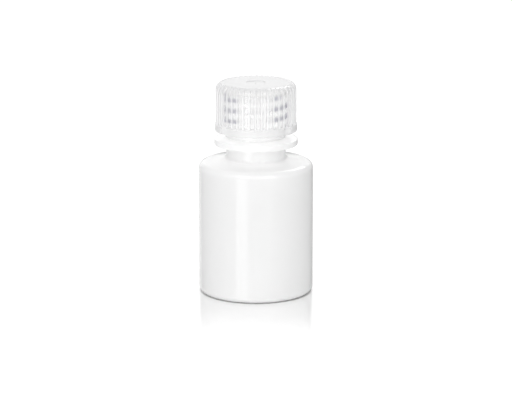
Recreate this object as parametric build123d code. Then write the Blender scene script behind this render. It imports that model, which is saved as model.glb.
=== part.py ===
from build123d import *
from math import cos, radians, tan
import os

# A 30 mL narrow-mouth sample bottle: a blow-moulded polyethylene bottle, a ribbed
# polypropylene screw cap and the flat liner that seals them. Millimetres, +Z up.
# The origin is the centre of the circle that the bottle stands on, and the front is -Y.
# Profiles are drawn as (radius, height) and spun about Z.

# body
BODY_RADIUS = 17.0
WALL = 1.2
FLOOR_WALL = 1.32
BASE_ROUNDING = 1.6
INNER_BASE_ROUNDING = 1.0
STANDING_RING_INNER = 13.6
INNER_DOME_RADIUS = 13.0
PUSH_UP = 1.3               # how far the middle of the base stands clear of the table
SEAM_WIDTH = 0.5            # pinch-off seam that the mould leaves across the base
SEAM_HEIGHT = 0.2
SEAM_LENGTH = 20.0

# shoulder: a shallow cone that runs into the neck
SHOULDER_CORNER_Z = 39.34   # where the cone would meet the side wall if it weren't rounded
SHOULDER_SLOPE = 10.0       # degrees
SHOULDER_ROUNDING = 2.0
INNER_SHOULDER_ROUNDING = 1.2
NECK_COVE = 1.1

# neck and its ring
NECK_RADIUS = 8.85
BORE_RADIUS = 6.75
RING_RADIUS = 12.4
RING_BOTTOM_Z = 44.9
RING_EDGE_Z = 46.65
RING_TOP_Z = 47.2           # the ring's top face slopes up to the neck
RING_ROUNDING = 0.35
RIM_Z = 61.05
RIM_ROUNDING = 0.35

# thread, eight turns to the inch
PITCH = 3.175
THREAD_DEPTH = 1.0
THREAD_SINK = 0.2           # how far a ridge is rooted in its wall
BOTTLE_RIDGE_ROOT = 1.7
BOTTLE_RIDGE_CREST = 0.9
BOTTLE_THREAD_START = -75.0  # degrees round from +X
BOTTLE_THREAD_Z = 52.02     # height of the ridge's middle at its start
BOTTLE_THREAD_TURNS = 2.4
CAP_RIDGE_ROOT = 1.35
CAP_RIDGE_CREST = 0.65
CAP_THREAD_START = -45.0
CAP_THREAD_TURNS = 3.05
RUN_OUT_HEIGHT = 2.6        # height of the cuts that fade the ends of a ridge
CAP_RUN_OUT_RADIUS = 7.0

# screw cap
CAP_TOP_Z = 63.55
CAP_RADIUS = 12.0
CAP_CORNER = 2.1
CAP_INNER_RADIUS = 10.1
CAP_PLATE = 1.56
CAP_BOTTOM_Z = 49.1
CAP_BAND_RADIUS = 12.2
CAP_BAND_TOP_Z = 51.2
CAP_BAND_SLOPE_Z = 51.85     # the band's top slopes up to here at the foot of the grooves
CAP_BAND_ROUNDING = 0.3
CAP_MOUTH_RADIUS = 10.45    # the skirt is opened out a little at its foot
CAP_MOUTH_TOP_Z = 50.1
CAP_INNER_ROUNDING = 0.4
GATE_RECESS_RADIUS = 2.85   # the round recess in the middle of the top
GATE_RECESS_DEPTH = 0.28
GATE_RECESS_SLOPE = 0.25    # how much narrower its floor is than its edge
GATE_NUB_RADIUS = 0.4
GATE_NUB_HEIGHT = 0.1

# grip ribs: narrow rounded ribs up the skirt, with flat-floored grooves between them
RIBS = 40
RIB_PHASE = -1.0            # degrees from the front; where one rib stands when the cap is closed
GROOVE_DEPTH = 0.5
GROOVE_FLOOR_HALF = 0.5     # half widths of a groove, at its floor and at the ribs' crests
GROOVE_MOUTH_HALF = 0.8
GROOVE_OVERCUT = 0.06       # the flanks run this far past the skirt, so that they leave it cleanly
GROOVE_FLANK_OUT = 0.33     # a point on the flank, which bulges so that the ribs are rounded
GROOVE_FLANK_HALF = 0.59
GROOVE_FOOT_ROUNDING = 0.12
GROOVE_FADE = 0.52          # how far the groove's arc over the corner is set inward, so it fades
GROOVE_FADE_ANGLE = 85.0

# liner
LINER_RADIUS = 9.55
LINER_THICKNESS = 0.88
LINER_GAP = 0.03            # clearance to the rim below and the plate above


def spin(outline):
    """A solid of revolution about Z from a closed outline of (radius, height)."""
    return revolve(Plane.XZ * make_face(outline), axis=Axis.Z)


def shoulder_z(radius):
    """Height of the shoulder's cone at a radius."""
    return SHOULDER_CORNER_Z + (BODY_RADIUS - radius) * tan(radians(SHOULDER_SLOPE))


def bottle_skin():
    """The outside of the bottle without its thread, as a filled solid."""
    corners = [
        (STANDING_RING_INNER, 0, 0),
        (BODY_RADIUS, 0, BASE_ROUNDING),
        (BODY_RADIUS, SHOULDER_CORNER_Z, SHOULDER_ROUNDING),
        (NECK_RADIUS, shoulder_z(NECK_RADIUS), NECK_COVE),
        (NECK_RADIUS, RING_BOTTOM_Z, RING_ROUNDING),
        (RING_RADIUS, RING_BOTTOM_Z, RING_ROUNDING),
        (RING_RADIUS, RING_EDGE_Z, RING_ROUNDING),
        (NECK_RADIUS, RING_TOP_Z, RING_ROUNDING),
        (NECK_RADIUS, RIM_Z, RIM_ROUNDING),
        (0, RIM_Z, 0),
        (0, PUSH_UP, 0),
    ]
    points = [(r, z) for r, z, _ in corners]
    roundings = [rounding for _, _, rounding in corners[1:-1]]
    side = FilletPolyline(*points, radius=roundings)
    base = TangentArc((0, PUSH_UP), (STANDING_RING_INNER, 0), tangent=(1, 0))
    return spin(side + base)


def bottle_hollow():
    """The space inside the bottle, from the inside of the base to past the rim."""
    inner = BODY_RADIUS - WALL
    wall_drop = WALL / cos(radians(SHOULDER_SLOPE))
    corners = [
        (INNER_DOME_RADIUS, FLOOR_WALL, 0),
        (inner, FLOOR_WALL, INNER_BASE_ROUNDING),
        (inner, shoulder_z(inner) - wall_drop, INNER_SHOULDER_ROUNDING),
        (BORE_RADIUS, shoulder_z(BORE_RADIUS) - wall_drop, NECK_COVE + WALL),
        (BORE_RADIUS, RIM_Z - RIM_ROUNDING, 0),
        (BORE_RADIUS + RIM_ROUNDING, RIM_Z, 0),
        (BORE_RADIUS + RIM_ROUNDING, RIM_Z + 1, 0),
        (0, RIM_Z + 1, 0),
        (0, PUSH_UP + FLOOR_WALL, 0),
    ]
    points = [(r, z) for r, z, _ in corners]
    roundings = [rounding for _, _, rounding in corners[1:-1]]
    side = FilletPolyline(*points, radius=roundings)
    base = TangentArc(points[-1], points[0], tangent=(1, 0))
    return spin(side + base)


def base_seam():
    """The low ridge that the pinched-off parison leaves across the underside."""
    dome = (STANDING_RING_INNER**2 + PUSH_UP**2) / (2 * PUSH_UP)
    centre = Pos(0, 0, PUSH_UP - dome)
    shell = centre * Sphere(dome + SEAM_HEIGHT) - centre * Sphere(dome - SEAM_HEIGHT)
    bar = Pos(0, 0, PUSH_UP) * Box(SEAM_LENGTH, SEAM_WIDTH, 4 * PUSH_UP)
    return shell & bar


def helical_ridge(base_radius, tip_radius, base_width, tip_width, start_z, start, turns):
    """A ridge of trapezium section wound right-handed about Z."""
    section = Polyline(
        (base_radius, start_z - base_width / 2),
        (tip_radius, start_z - tip_width / 2),
        (tip_radius, start_z + tip_width / 2),
        (base_radius, start_z + base_width / 2),
        close=True,
    )
    path = Pos(0, 0, start_z) * Helix(PITCH, PITCH * turns, base_radius)
    ridge = sweep(Plane.XZ * make_face(section), path=path, is_frenet=True)
    return Rot(0, 0, start) * ridge


def ridge_ends(start_z, start, turns):
    """The angle and height of the two ends of a ridge."""
    return [(start, start_z), (start + 360 * turns, start_z + PITCH * turns)]


def bottle_thread():
    """The outside thread, whose ends fade into the neck."""
    place = (BOTTLE_THREAD_Z, BOTTLE_THREAD_START, BOTTLE_THREAD_TURNS)
    tip = NECK_RADIUS + THREAD_DEPTH
    ridge = helical_ridge(
        NECK_RADIUS - THREAD_SINK, tip, BOTTLE_RIDGE_ROOT, BOTTLE_RIDGE_CREST, *place
    )
    for angle, height in ridge_ends(*place):
        block = Pos(NECK_RADIUS + tip / 2, 0, height) * Box(tip, 2 * tip, RUN_OUT_HEIGHT)
        ridge -= Rot(0, 0, angle) * block
    return ridge


def cap_thread():
    """The inside thread, half a pitch from the bottle's, whose ends fade into the skirt."""
    turned = (CAP_THREAD_START - BOTTLE_THREAD_START) / 360
    start_z = BOTTLE_THREAD_Z + PITCH * (turned - 0.5)
    place = (start_z, CAP_THREAD_START, CAP_THREAD_TURNS)
    ridge = helical_ridge(
        CAP_INNER_RADIUS + THREAD_SINK,
        CAP_INNER_RADIUS - THREAD_DEPTH,
        CAP_RIDGE_ROOT,
        CAP_RIDGE_CREST,
        *place,
    )
    for angle, height in ridge_ends(*place):
        drum = Cylinder(CAP_RUN_OUT_RADIUS, RUN_OUT_HEIGHT)
        ridge -= Rot(0, 0, angle) * Pos(CAP_INNER_RADIUS - CAP_RUN_OUT_RADIUS, 0, height) * drum
    return ridge


def bottle():
    """Bottle, neck ring and thread in one piece."""
    return bottle_skin() - bottle_hollow() + bottle_thread() + base_seam()


def cap_skin():
    """The outside of the cap before it is grooved, as a filled solid."""
    corners = [
        (0, CAP_TOP_Z, 0),
        (CAP_RADIUS, CAP_TOP_Z, CAP_CORNER),
        (CAP_RADIUS, CAP_BAND_TOP_Z, 0),
        (CAP_BAND_RADIUS, CAP_BAND_TOP_Z, CAP_BAND_ROUNDING / 2),
        (CAP_BAND_RADIUS, CAP_BOTTOM_Z, CAP_BAND_ROUNDING),
        (0, CAP_BOTTOM_Z, 0),
    ]
    points = [(r, z) for r, z, _ in corners]
    roundings = [rounding for _, _, rounding in corners[1:-1]]
    return spin(FilletPolyline(*points, radius=roundings) + Line(points[-1], points[0]))


def cap_hollow():
    """The space inside the cap, opened out at its foot."""
    plate_z = CAP_TOP_Z - CAP_PLATE
    corners = [
        (0, plate_z, 0),
        (CAP_INNER_RADIUS, plate_z, CAP_INNER_ROUNDING),
        (CAP_INNER_RADIUS, CAP_MOUTH_TOP_Z, 0),
        (CAP_MOUTH_RADIUS, CAP_MOUTH_TOP_Z - (CAP_MOUTH_RADIUS - CAP_INNER_RADIUS), 0),
        (CAP_MOUTH_RADIUS, CAP_BOTTOM_Z - 1, 0),
        (0, CAP_BOTTOM_Z - 1, 0),
    ]
    points = [(r, z) for r, z, _ in corners]
    roundings = [rounding for _, _, rounding in corners[1:-1]]
    return spin(FilletPolyline(*points, radius=roundings) + Line(points[-1], points[0]))


def groove_cutter():
    """One groove: straight up the skirt, then over the corner on a wider arc that fades out."""
    foot = CAP_RADIUS - GROOVE_DEPTH
    out = CAP_RADIUS + GROOVE_OVERCUT
    clear = CAP_RADIUS + 1
    turn_z = CAP_TOP_Z - CAP_CORNER
    flanks = [
        ThreePointArc(
            (foot, side * GROOVE_FLOOR_HALF),
            (foot + GROOVE_FLANK_OUT, side * GROOVE_FLANK_HALF),
            (out, side * GROOVE_MOUTH_HALF),
        )
        for side in (-1, 1)
    ]
    floor = Line((foot, -GROOVE_FLOOR_HALF), (foot, GROOVE_FLOOR_HALF))
    outside = Polyline(
        (out, GROOVE_MOUTH_HALF),
        (clear, GROOVE_MOUTH_HALF),
        (clear, -GROOVE_MOUTH_HALF),
        (out, -GROOVE_MOUTH_HALF),
    )
    section = make_face(floor + outside + flanks)
    section = fillet(section.vertices().sort_by(Axis.X)[:2], GROOVE_FOOT_ROUNDING)
    section = Pos(0, 0, turn_z) * section
    straight = extrude(section, amount=CAP_BAND_TOP_Z - turn_z)
    centre = (CAP_RADIUS - CAP_CORNER - GROOVE_FADE, 0, turn_z)
    over = revolve(section, axis=Axis(centre, (0, -1, 0)), revolution_arc=GROOVE_FADE_ANGLE)
    return straight + over


def band_slope():
    """The sloping top of the plain band, which the grooves run down to."""
    foot = CAP_RADIUS - GROOVE_DEPTH
    edge = CAP_BAND_RADIUS - CAP_BAND_ROUNDING / 2
    root = (foot + CAP_INNER_RADIUS) / 2
    outline = Polyline(
        (root, CAP_BOTTOM_Z + CAP_BAND_ROUNDING),
        (edge, CAP_BOTTOM_Z + CAP_BAND_ROUNDING),
        (edge, CAP_BAND_TOP_Z),
        (foot, CAP_BAND_SLOPE_Z),
        (root, CAP_BAND_SLOPE_Z),
        close=True,
    )
    return spin(outline)


def gate_recess():
    """The shallow recess in the middle of the top, where the plastic was fed in, with its nub."""
    floor_radius = GATE_RECESS_RADIUS - GATE_RECESS_SLOPE
    top = Pos(0, 0, CAP_TOP_Z)
    recess = top * Cone(floor_radius, GATE_RECESS_RADIUS + GATE_RECESS_SLOPE, 2 * GATE_RECESS_DEPTH)
    nub = Pos(0, 0, CAP_TOP_Z - GATE_RECESS_DEPTH) * Cylinder(GATE_NUB_RADIUS, 2 * GATE_NUB_HEIGHT)
    return recess - nub


def screw_cap():
    """Cap with its grip ribs, thread and gate recess."""
    cap = cap_skin() - cap_hollow()
    cutter = Rot(0, 0, RIB_PHASE + 180 / RIBS) * groove_cutter()
    cap -= [spot * cutter for spot in PolarLocations(0, RIBS)]
    return cap + band_slope() - gate_recess() + cap_thread()


def cap_liner():
    """The flat sealing disc between the rim of the bottle and the plate of the cap."""
    middle_z = RIM_Z + LINER_GAP + LINER_THICKNESS / 2
    return Pos(0, 0, middle_z) * Cylinder(LINER_RADIUS, LINER_THICKNESS)


def main():
    os.makedirs("parts", exist_ok=True)
    for build in (bottle, screw_cap, cap_liner):
        name = build.__name__
        piece = build()
        piece.label = name
        print(name, piece.is_valid, len(piece.solids()), round(piece.volume, 1))
        export_step(piece, f"parts/{name}.step")


main()
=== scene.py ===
"""A small white sample bottle with a translucent ribbed screw cap, in a plain light studio.

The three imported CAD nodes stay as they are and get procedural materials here. Units are metres.
"""
from math import pi, radians

import bpy
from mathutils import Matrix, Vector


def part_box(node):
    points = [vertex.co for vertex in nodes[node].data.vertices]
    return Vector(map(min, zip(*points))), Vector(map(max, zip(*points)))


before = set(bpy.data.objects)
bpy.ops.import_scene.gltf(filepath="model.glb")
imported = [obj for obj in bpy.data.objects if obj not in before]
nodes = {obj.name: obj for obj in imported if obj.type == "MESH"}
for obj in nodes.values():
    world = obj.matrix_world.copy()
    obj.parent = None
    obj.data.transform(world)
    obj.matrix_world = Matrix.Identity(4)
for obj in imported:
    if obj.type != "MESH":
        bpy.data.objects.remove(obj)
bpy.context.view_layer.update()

MM = 0.001

# camera
CAMERA_DISTANCE = 0.820
CAMERA_HEIGHT = 0.227
CAMERA_PITCH = 13.87
LENS_MM = 198.3

# places on the bottle, from its packed box
bottle_low, bottle_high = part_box("bottle")
BODY_RADIUS = bottle_high.x
TABLE = bottle_low.z
RIM = bottle_high.z
RING_BOTTOM = RIM - 16.15 * MM
RING_TOP = RIM - 13.85 * MM

# places on the cap, from its packed box; the band at the foot of the skirt is its widest part
cap_low, cap_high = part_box("screw_cap")
CAP_TOP = cap_high.z
BAND_TOP = cap_low.z + 2.1 * MM
RIB_RADIUS = cap_high.x - 0.2 * MM
GROOVE_RADIUS = RIB_RADIUS - 0.5 * MM
INSIDE_RADIUS = RIB_RADIUS - 1.9 * MM

# painted light: a glow set by place that lifts the shade in the bottle's sheltered places, standing for
# light led through its milky wall
NECK_FILL = 0.115
RING_FILL = 0.06
FOOT_FILL = 0.035
FOOT_FILL_HEIGHT = 30 * MM

# how much each skin of the cap's milky plastic covers what lies behind it
GROOVE_COVER = 0.28
RIB_COVER = 0.70
BAND_COVER = 0.45
PLATE_COVER = 0.88
INSIDE_COVER = 0.06
THREAD_COVER = 0.92
EDGE_COVER = 0.98
COVER_SPREAD = 0.02           # how much the cover varies from place to place, up and down
FORWARD_SHARE = 0.95          # the share of the cover that shadow rays and bounced light pass through

# the cap's colours; the greyer flanks, plate and band are painted shade, and the thread's dark violet is a
# painted reflection, as of a prism with a darker part of the room in it
SKIRT_COLOUR = (0.94, 0.94, 0.945, 1)
FLANK_PAINTED_SHADE = (0.70, 0.70, 0.705, 1)
PLATE_PAINTED_SHADE = (0.79, 0.79, 0.795, 1)
BAND_PAINTED_SHADE = (0.86, 0.86, 0.865, 1)
THREAD_PAINTED_REFLECTION = (0.33, 0.33, 0.41, 1)

# floor: a mirror near the bottle, matt further out
FLOOR_SIZE = 12.0
FLOOR_COLOUR = (0.5, 0.5, 0.5, 1)
MIRROR_NEAR = 20 * MM
MIRROR_FAR = 70 * MM
MIRROR_SHARE = 0.62
# the floor's glow: painted light, stronger near the bottle, and a painted contact shadow where the bottle
# stands
FLOOR_GLOW = 0.80
FLOOR_GLOW_FAR = 0.58
MIRRORED_BACKDROP = 1.08

# the room's soft light: its strength in the middle, and how it changes along x, x squared, y and z
ROOM_MIDDLE = 1.47
ROOM_X = -0.14
ROOM_X_SQUARED = -1.88
ROOM_Y = -0.06
ROOM_Z = 0.02
ROOM_LEAST = 0.05

# what gloss reflects of the room: its walls, and the backdrop behind the bottle
WALLS = 0.50
WALLS_X = -0.14
WALLS_Y = -0.12
BACKDROP = 0.69

# softboxes that only gloss shows: azimuth of the middle, half width, lowest and highest elevation,
# all in degrees, and strength
SOFTBOXES = (
    # a short highlight on the shoulder's edge from each
    (-28.0, 15.0, 22.0, 40.0, 6.0),
    (28.0, 15.0, 24.0, 42.0, 6.0),
    # the long streak on the right of the shoulder's edge
    (157.0, 8.0, 28.0, 58.0, 6.5),
    # the tall highlight on the body, left of its middle
    (-28.5, 12.5, -50.0, -3.0, 1.3),
    # too high up for the body's upright wall: the shoulder's edge, the neck, its ring and the cap show them
    (-31.0, 7.0, -12.8, -3.0, 2.0),
    (28.0, 7.0, -12.8, -3.0, 2.0),
    # the thin light line along the body's left outline
    (-160.0, 14.0, -40.0, 2.0, 0.4),
)


# ---------------------------------------------------------------- node helpers
class Tree:
    """Short ways to add shader nodes to one tree."""

    def __init__(self, tree):
        self.tree = tree
        self.tree.nodes.clear()

    def add(self, kind, **settings):
        node = self.tree.nodes.new(kind)
        for name, value in settings.items():
            setattr(node, name, value)
        return node

    def set(self, socket, value):
        """Link the socket to another socket, or give it a value of its own."""
        if isinstance(value, bpy.types.NodeSocket):
            self.tree.links.new(value, socket)
        else:
            socket.default_value = value

    def math(self, operation, *values):
        node = self.add("ShaderNodeMath", operation=operation)
        for socket, value in zip(node.inputs, values):
            self.set(socket, value)
        return node.outputs[0]

    def ramp(self, value, low, high, to_low=0.0, to_high=1.0):
        """A smooth step from to_low at low to to_high at high."""
        node = self.add("ShaderNodeMapRange", interpolation_type="SMOOTHSTEP")
        for name, item in (
            ("Value", value),
            ("From Min", low),
            ("From Max", high),
            ("To Min", to_low),
            ("To Max", to_high),
        ):
            self.set(node.inputs[name], item)
        return node.outputs["Result"]

    def hump(self, value, rise, fall):
        """A smooth step up over the pair of values in rise, and down over the pair in fall."""
        up = self.ramp(value, rise[0], rise[1])
        down = self.ramp(value, fall[0], fall[1], 1.0, 0.0)
        return self.math("MULTIPLY", up, down)

    def mix(self, share, low, high):
        node = self.add("ShaderNodeMix")
        self.set(node.inputs[0], share)
        self.set(node.inputs[2], low)
        self.set(node.inputs[3], high)
        return node.outputs[0]

    def mix_colour(self, share, low, high):
        node = self.add("ShaderNodeMix", data_type="RGBA")
        self.set(node.inputs[0], share)
        self.set(node.inputs[6], low)
        self.set(node.inputs[7], high)
        return node.outputs[2]

    def place(self, coordinates):
        """The named texture coordinates, whole and as x, y and z."""
        where = self.add("ShaderNodeTexCoord").outputs[coordinates]
        split = self.add("ShaderNodeSeparateXYZ")
        self.set(split.inputs[0], where)
        return where, *split.outputs

    def distance(self, x, y):
        """How far a place is from the bottle's axis."""
        return self.math("SQRT", self.math("ADD", self.math("POWER", x, 2), self.math("POWER", y, 2)))

    def noise(self, vector, scale, detail):
        """Smooth noise from 0 to 1, with about scale swells to the metre."""
        node = self.add("ShaderNodeTexNoise")
        self.set(node.inputs["Vector"], vector)
        node.inputs["Scale"].default_value = scale
        node.inputs["Detail"].default_value = detail
        node.inputs["Roughness"].default_value = 0.5
        return node.outputs["Fac"]

    def bump(self, height, strength, distance):
        node = self.add("ShaderNodeBump")
        node.inputs["Strength"].default_value = strength
        node.inputs["Distance"].default_value = distance
        self.set(node.inputs["Height"], height)
        return node.outputs["Normal"]

    def output(self, kind, shader):
        out = self.add(kind)
        self.set(out.inputs["Surface"], shader)


def new_material(name):
    material = bpy.data.materials.new(name)
    material.use_nodes = True
    return material, Tree(material.node_tree)


def use_material(node_name, material):
    """Every slot of a CAD node takes the material."""
    node = nodes[node_name]
    for slot in node.material_slots:
        slot.material = material


def add_object(name, data):
    piece = bpy.data.objects.new(name, data)
    bpy.context.scene.collection.objects.link(piece)
    return piece


# ---------------------------------------------------------------- materials
def painted_fill_glow(tree, radius, z):
    """Painted light: a glow set by place that lifts the shade at the neck's foot, the ring's top and the
    bottle's foot, standing for light the milky wall leads there.
    """
    neck = tree.hump(
        z,
        (RING_BOTTOM - 9.9 * MM, RING_BOTTOM - 4.9 * MM),
        (RING_BOTTOM - 4.4 * MM, RING_BOTTOM - 0.1 * MM),
    )
    neck = tree.math("MULTIPLY", tree.ramp(radius, 9.0 * MM, 14.5 * MM, 1.0, 0.0), neck)
    ring = tree.hump(
        z,
        (RING_TOP - 0.8 * MM, RING_TOP - 0.1 * MM),
        (RING_TOP + 0.8 * MM, RING_TOP + 2.8 * MM),
    )
    foot = tree.ramp(z, TABLE, TABLE + FOOT_FILL_HEIGHT, FOOT_FILL, 0.0)
    painted_glow = tree.math("MULTIPLY", neck, NECK_FILL)
    painted_glow = tree.math("MULTIPLY_ADD", ring, RING_FILL, painted_glow)
    painted_glow = tree.math("ADD", painted_glow, foot)
    grey = tree.add("ShaderNodeCombineColor")
    for socket in grey.inputs[:3]:
        tree.set(socket, painted_glow)
    return grey.outputs[0]


def white_polyethylene():
    """Glossy blow-moulded polyethylene: milky, with a faint swell, grain and fine die lines."""
    material, tree = new_material("white_polyethylene")
    where, x, y, z = tree.place("Object")
    swell = tree.noise(where, scale=70.0, detail=1.0)
    grain = tree.noise(where, scale=1400.0, detail=2.0)
    # noise drawn out along the axis makes the upright lines
    stretch = tree.add("ShaderNodeVectorMath", operation="MULTIPLY")
    tree.set(stretch.inputs[0], where)
    stretch.inputs[1].default_value = (1.0, 1.0, 0.04)
    lines = tree.noise(stretch.outputs[0], scale=420.0, detail=2.0)
    height = tree.math("MULTIPLY_ADD", grain, 0.05, swell)
    height = tree.math("MULTIPLY_ADD", lines, 0.06, height)
    shader = tree.add("ShaderNodeBsdfPrincipled")
    shader.inputs["Base Color"].default_value = (0.985, 0.984, 0.983, 1)
    shader.inputs["IOR"].default_value = 1.5
    shader.inputs["Subsurface Weight"].default_value = 0.8
    shader.inputs["Subsurface Radius"].default_value = (1.0, 1.0, 1.0)
    shader.inputs["Subsurface Scale"].default_value = 1.7 * MM
    # painted light: a glow set by place lifts the shade in the bottle's sheltered places
    shader.inputs["Emission Strength"].default_value = 1.0
    tree.set(shader.inputs["Emission Color"], painted_fill_glow(tree, tree.distance(x, y), z))
    tree.set(shader.inputs["Roughness"], tree.ramp(grain, 0.3, 0.7, 0.06, 0.10))
    tree.set(shader.inputs["Normal"], tree.bump(height, strength=0.06, distance=0.2 * MM))
    tree.output("ShaderNodeOutputMaterial", shader.outputs["BSDF"])
    return material


def turned_away(tree, x, y):
    """How far round the cap a place is, whatever its ribs do: 0 facing the eye, 1 edge on."""
    outward = tree.add("ShaderNodeCombineXYZ")
    tree.set(outward.inputs[0], x)
    tree.set(outward.inputs[1], y)
    radial = tree.add("ShaderNodeVectorTransform", vector_type="NORMAL")
    radial.convert_from = "OBJECT"
    radial.convert_to = "WORLD"
    tree.set(radial.inputs[0], outward.outputs[0])
    weight = tree.add("ShaderNodeLayerWeight")
    tree.set(weight.inputs["Normal"], radial.outputs[0])
    return weight.outputs["Facing"]


def cap_cover(tree, radius, z, in_thread, facing, swell):
    """How much of what lies behind it each place on the cap covers."""
    # the inner thread is a prism: as soon as it is seen at an angle it covers more and turns dark, showing
    # its painted reflection
    prism = tree.ramp(facing, 0.180, 0.215, INSIDE_COVER, THREAD_COVER)
    inside = tree.mix(in_thread, INSIDE_COVER, prism)
    outside = tree.ramp(
        radius, GROOVE_RADIUS + 0.05 * MM, RIB_RADIUS - 0.10 * MM, GROOVE_COVER, RIB_COVER
    )
    outer_skin = tree.ramp(radius, INSIDE_RADIUS + 0.5 * MM, INSIDE_RADIUS + 0.8 * MM)
    cover = tree.mix(outer_skin, inside, outside)
    in_plate = tree.ramp(z, CAP_TOP - 2.25 * MM, CAP_TOP - 0.35 * MM)
    cover = tree.mix(in_plate, cover, PLATE_COVER)
    above_band = tree.ramp(z, BAND_TOP, BAND_TOP + 0.6 * MM)
    cover = tree.mix(above_band, BAND_COVER, cover)
    # seen edge on, the skirt is too thick to see through
    edge = tree.math("MULTIPLY", tree.ramp(facing, 0.40, 0.56, 0.0, EDGE_COVER), outer_skin)
    cover = tree.math("MAXIMUM", cover, edge)
    cover = tree.math("ADD", cover, tree.ramp(swell, 0.3, 0.7, -COVER_SPREAD, COVER_SPREAD))
    # most of the light that the milky plastic scatters goes on inwards
    path = tree.add("ShaderNodeLightPath")
    inward = tree.math("MAXIMUM", path.outputs["Is Shadow Ray"], path.outputs["Is Diffuse Ray"])
    return tree.math("MULTIPLY", cover, tree.math("MULTIPLY_ADD", inward, -FORWARD_SHARE, 1.0))


def cap_colour(tree, radius, z, in_thread):
    """Paler on the ribs and in the grooves; greyer on their flanks, the band and the plate as painted
    shade; dark violet in the thread as a painted reflection.
    """
    # painted shade: the ribs' flanks are greyer
    flank = tree.hump(
        radius,
        (GROOVE_RADIUS + 0.04 * MM, GROOVE_RADIUS + 0.12 * MM),
        (RIB_RADIUS - 0.16 * MM, RIB_RADIUS - 0.04 * MM),
    )
    skirt = tree.mix_colour(flank, SKIRT_COLOUR, FLANK_PAINTED_SHADE)
    # painted shade: the plate is greyer
    in_plate = tree.ramp(z, CAP_TOP - 3.05 * MM, CAP_TOP - 1.55 * MM)
    skirt = tree.mix_colour(in_plate, skirt, PLATE_PAINTED_SHADE)
    # painted shade: the band is greyer
    above_band = tree.ramp(z, BAND_TOP, BAND_TOP + 0.6 * MM)
    skirt = tree.mix_colour(above_band, BAND_PAINTED_SHADE, skirt)
    # painted reflection: the thread is dark violet
    return tree.mix_colour(in_thread, skirt, THREAD_PAINTED_REFLECTION)


def natural_polypropylene():
    """Unpigmented polypropylene: clear in its grooves, milky in its ribs and plate, its thread darker."""
    material, tree = new_material("natural_polypropylene")
    where, x, y, z = tree.place("Object")
    radius = tree.distance(x, y)
    in_thread = tree.math(
        "MULTIPLY",
        tree.ramp(radius, INSIDE_RADIUS - 0.20 * MM, INSIDE_RADIUS - 0.06 * MM, 1.0, 0.0),
        tree.ramp(z, CAP_TOP - 2.75 * MM, CAP_TOP - 2.35 * MM, 1.0, 0.0),
    )
    swell = tree.noise(where, scale=160.0, detail=2.0)
    facing = turned_away(tree, x, y)
    shader = tree.add("ShaderNodeBsdfPrincipled")
    shader.inputs["IOR"].default_value = 1.5
    tree.set(shader.inputs["Base Color"], cap_colour(tree, radius, z, in_thread))
    tree.set(shader.inputs["Alpha"], cap_cover(tree, radius, z, in_thread, facing, swell))
    tree.set(shader.inputs["Roughness"], tree.ramp(swell, 0.3, 0.7, 0.08, 0.14))
    tree.set(shader.inputs["Normal"], tree.bump(swell, strength=0.08, distance=0.2 * MM))
    tree.output("ShaderNodeOutputMaterial", shader.outputs["BSDF"])
    return material


def liner_foam():
    """White foamed sheet with a fine cell texture."""
    material, tree = new_material("liner_foam")
    where = tree.add("ShaderNodeTexCoord").outputs["Object"]
    cells = tree.noise(where, scale=2600.0, detail=1.0)
    shader = tree.add("ShaderNodeBsdfPrincipled")
    shader.inputs["Base Color"].default_value = (0.93, 0.93, 0.92, 1)
    shader.inputs["Roughness"].default_value = 0.7
    tree.set(shader.inputs["Normal"], tree.bump(cells, strength=0.3, distance=0.1 * MM))
    tree.output("ShaderNodeOutputMaterial", shader.outputs["BSDF"])
    return material


use_material("bottle", white_polyethylene())
use_material("screw_cap", natural_polypropylene())
use_material("cap_liner", liner_foam())


# ---------------------------------------------------------------- stage
def white_acrylic():
    """Mirrors the foot of the bottle and turns matt further out; its glow, stronger near the bottle, is
    painted light, and it is dark only where the bottle stands, a painted contact shadow.
    """
    material, tree = new_material("white_acrylic")
    _, x, y, _ = tree.place("Object")
    away = tree.distance(x, y)
    matt = tree.add("ShaderNodeBsdfDiffuse")
    matt.inputs["Color"].default_value = FLOOR_COLOUR
    glow = tree.add("ShaderNodeEmission")
    # painted shadow: the glow is cut off where the bottle stands; painted light: it is stronger near the
    # bottle, lifting the bottle's shade on the floor around its foot
    near = tree.ramp(away, BODY_RADIUS - 0.6 * MM, BODY_RADIUS + 0.3 * MM, 0.0, FLOOR_GLOW)
    tree.set(glow.inputs["Strength"], tree.ramp(away, MIRROR_NEAR, MIRROR_FAR, near, FLOOR_GLOW_FAR))
    lit = tree.add("ShaderNodeAddShader")
    tree.set(lit.inputs[0], matt.outputs[0])
    tree.set(lit.inputs[1], glow.outputs[0])
    mirror = tree.add("ShaderNodeBsdfGlossy")
    mirror.inputs["Roughness"].default_value = 0.0
    mix = tree.add("ShaderNodeMixShader")
    tree.set(mix.inputs[0], tree.ramp(away, MIRROR_NEAR, MIRROR_FAR, MIRROR_SHARE, 0.0))
    tree.set(mix.inputs[1], lit.outputs[0])
    tree.set(mix.inputs[2], mirror.outputs[0])
    tree.output("ShaderNodeOutputMaterial", mix.outputs[0])
    return material


def floor():
    """A wide white floor, which gloss doesn't show."""
    mesh = bpy.data.meshes.new("floor")
    half = FLOOR_SIZE / 2
    corners = [(-half, -half, 0), (half, -half, 0), (half, half, 0), (-half, half, 0)]
    mesh.from_pydata(corners, [], [(0, 1, 2, 3)])
    mesh.materials.append(white_acrylic())
    piece = add_object("floor", mesh)
    piece.visible_glossy = False


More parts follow.
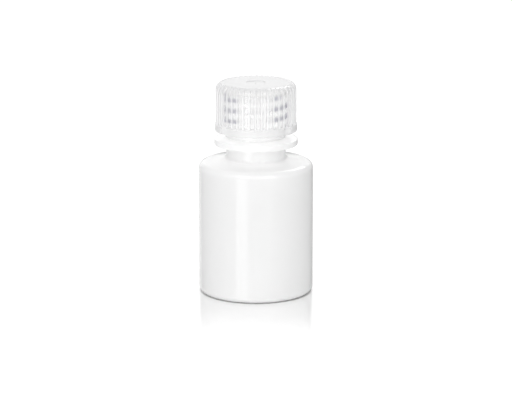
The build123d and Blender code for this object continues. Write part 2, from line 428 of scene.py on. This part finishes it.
def studio_world():
    """Light by direction: azimuth 0 is the front (-Y), +90 the right (+X)."""
    world = bpy.data.worlds.new("studio")
    bpy.context.scene.world = world
    world.use_nodes = True
    tree = Tree(world.node_tree)
    _, x, y, z = tree.place("Generated")
    azimuth = tree.math("MULTIPLY", tree.math("ARCTAN2", x, tree.math("MULTIPLY", y, -1)), 180 / pi)
    elevation = tree.math("MULTIPLY", tree.math("ARCSINE", z), 180 / pi)

    def band(value, middle, half, soft):
        off = tree.math("ABSOLUTE", tree.math("SUBTRACT", value, middle))
        return tree.ramp(off, half - soft, half + soft, 1.0, 0.0)

    def softbox(middle, half_width, low, high, strength):
        across = band(azimuth, middle, half_width, soft=1.0)
        up = band(elevation, (low + high) / 2, (high - low) / 2, soft=1.0)
        return tree.math("MULTIPLY", tree.math("MULTIPLY", across, up), strength)

    # the soft light of the room fills the plane through the camera and the bottle's axis,
    # and falls off to both sides, more to the right
    room = tree.math("MULTIPLY_ADD", x, ROOM_X, ROOM_MIDDLE)
    room = tree.math("MULTIPLY_ADD", tree.math("POWER", x, 2), ROOM_X_SQUARED, room)
    room = tree.math("MULTIPLY_ADD", y, ROOM_Y, room)
    room = tree.math("MULTIPLY_ADD", z, ROOM_Z, room)
    room = tree.math("MAXIMUM", room, ROOM_LEAST)
    # gloss shows the walls, the backdrop behind the bottle and the softboxes
    gloss = tree.math("MULTIPLY_ADD", x, WALLS_X, WALLS)
    gloss = tree.math("MULTIPLY_ADD", y, WALLS_Y, gloss)
    behind = tree.ramp(tree.math("ABSOLUTE", azimuth), 140.0, 165.0)
    low = band(elevation, 16.0, 14.0, soft=3.0)
    gloss = tree.math("MULTIPLY_ADD", tree.math("MULTIPLY", behind, low), BACKDROP, gloss)
    for box in SOFTBOXES:
        gloss = tree.math("ADD", gloss, softbox(*box))
    # the polished floor, the only perfect mirror here, shows a backdrop that goes all the way round
    ray = tree.add("ShaderNodeLightPath")
    gloss = tree.mix(ray.outputs["Is Singular Ray"], gloss, MIRRORED_BACKDROP)
    light = tree.add("ShaderNodeBackground")
    light.inputs["Color"].default_value = (1, 1, 1, 1)
    tree.set(light.inputs["Strength"], tree.mix(ray.outputs["Is Glossy Ray"], room, gloss))
    tree.output("ShaderNodeOutputWorld", light.outputs[0])


def camera():
    data = bpy.data.cameras.new("camera")
    data.lens = LENS_MM
    data.sensor_width = 36.0
    data.clip_start = 0.05
    data.clip_end = 50.0
    piece = add_object("camera", data)
    piece.location = (0, -CAMERA_DISTANCE, CAMERA_HEIGHT)
    piece.rotation_euler = (radians(90 - CAMERA_PITCH), 0, 0)
    bpy.context.scene.camera = piece


floor()
studio_world()
camera()
bpy.context.scene.view_settings.view_transform = "Standard"
